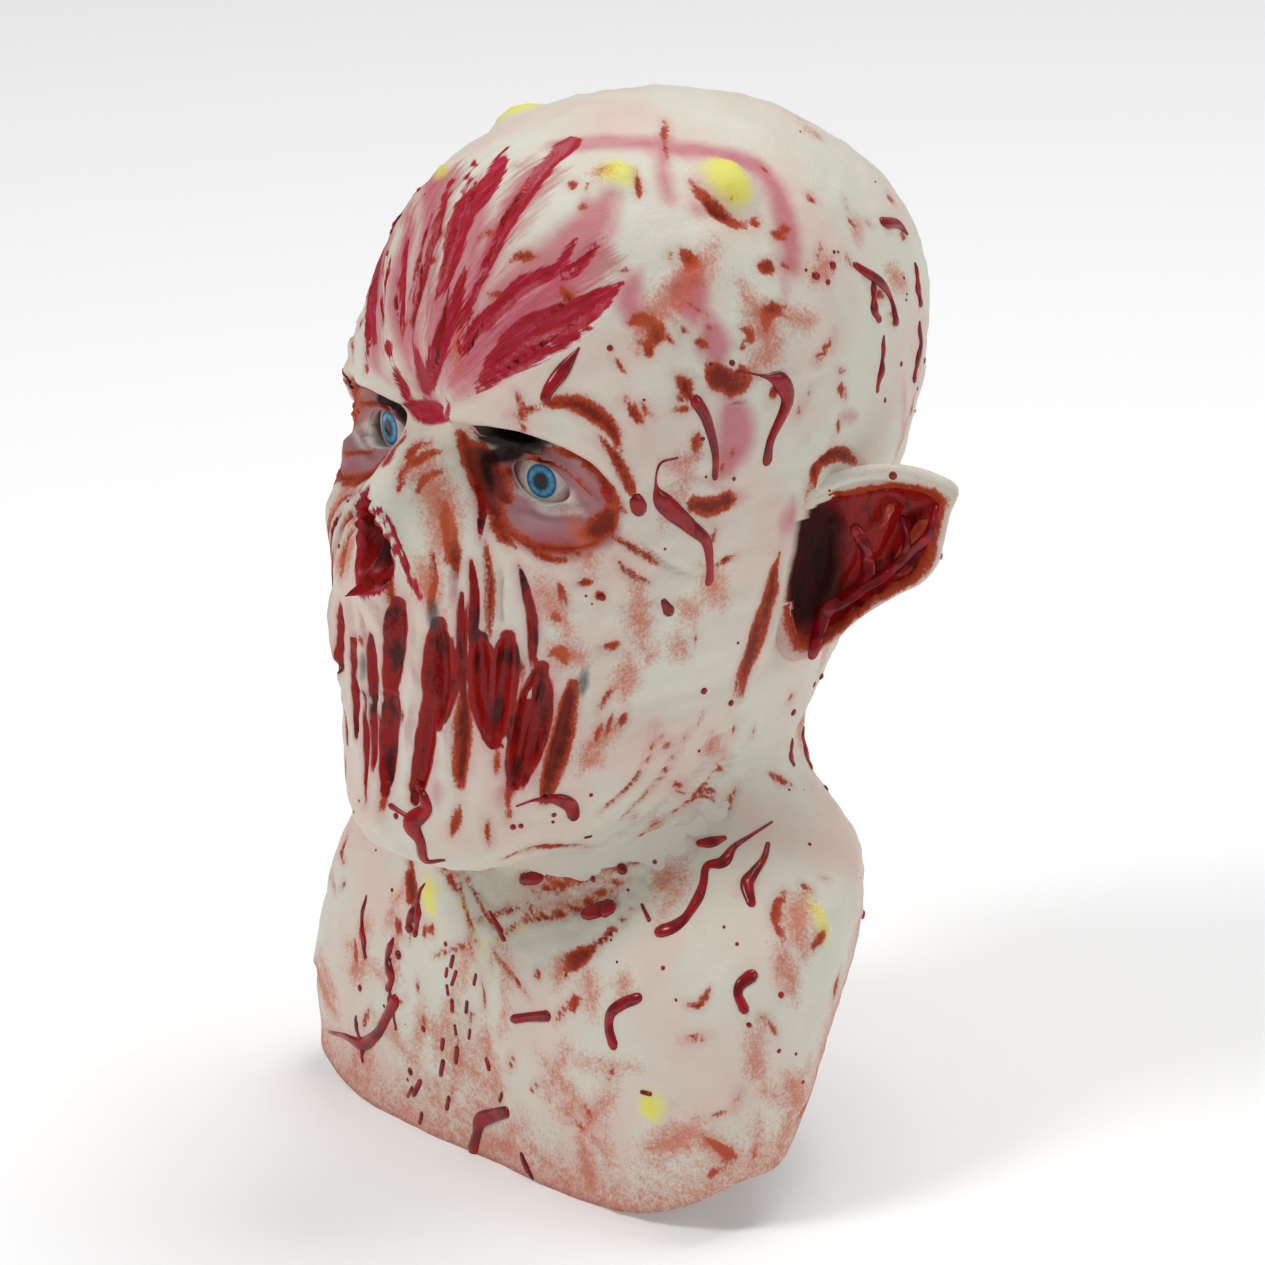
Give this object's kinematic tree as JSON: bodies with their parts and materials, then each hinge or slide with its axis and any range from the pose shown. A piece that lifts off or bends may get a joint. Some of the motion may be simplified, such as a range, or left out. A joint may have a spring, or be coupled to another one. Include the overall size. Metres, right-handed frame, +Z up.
{
  "type": "zombie mask",
  "caption": "Slip-over monster head mask with pointed ears, strands of flesh over the mouth, a neck and a chest flap, open at the bottom.",
  "frame": {"origin": "inside of the crown, where the top of a head bears", "axes": "+Z up the head, -Y out of the face, +X to the wearer's left"},
  "size_m": [0.2202, 0.2344, 0.367],
  "materials": {
    "latex_skin": "painted satin",
    "eye_paint": "gloss"
  },
  "bodies": {
    "root": {"latex_skin": "latex_skin", "left_eye": "eye_paint", "right_eye": "eye_paint"}
  },
  "joints": []
}
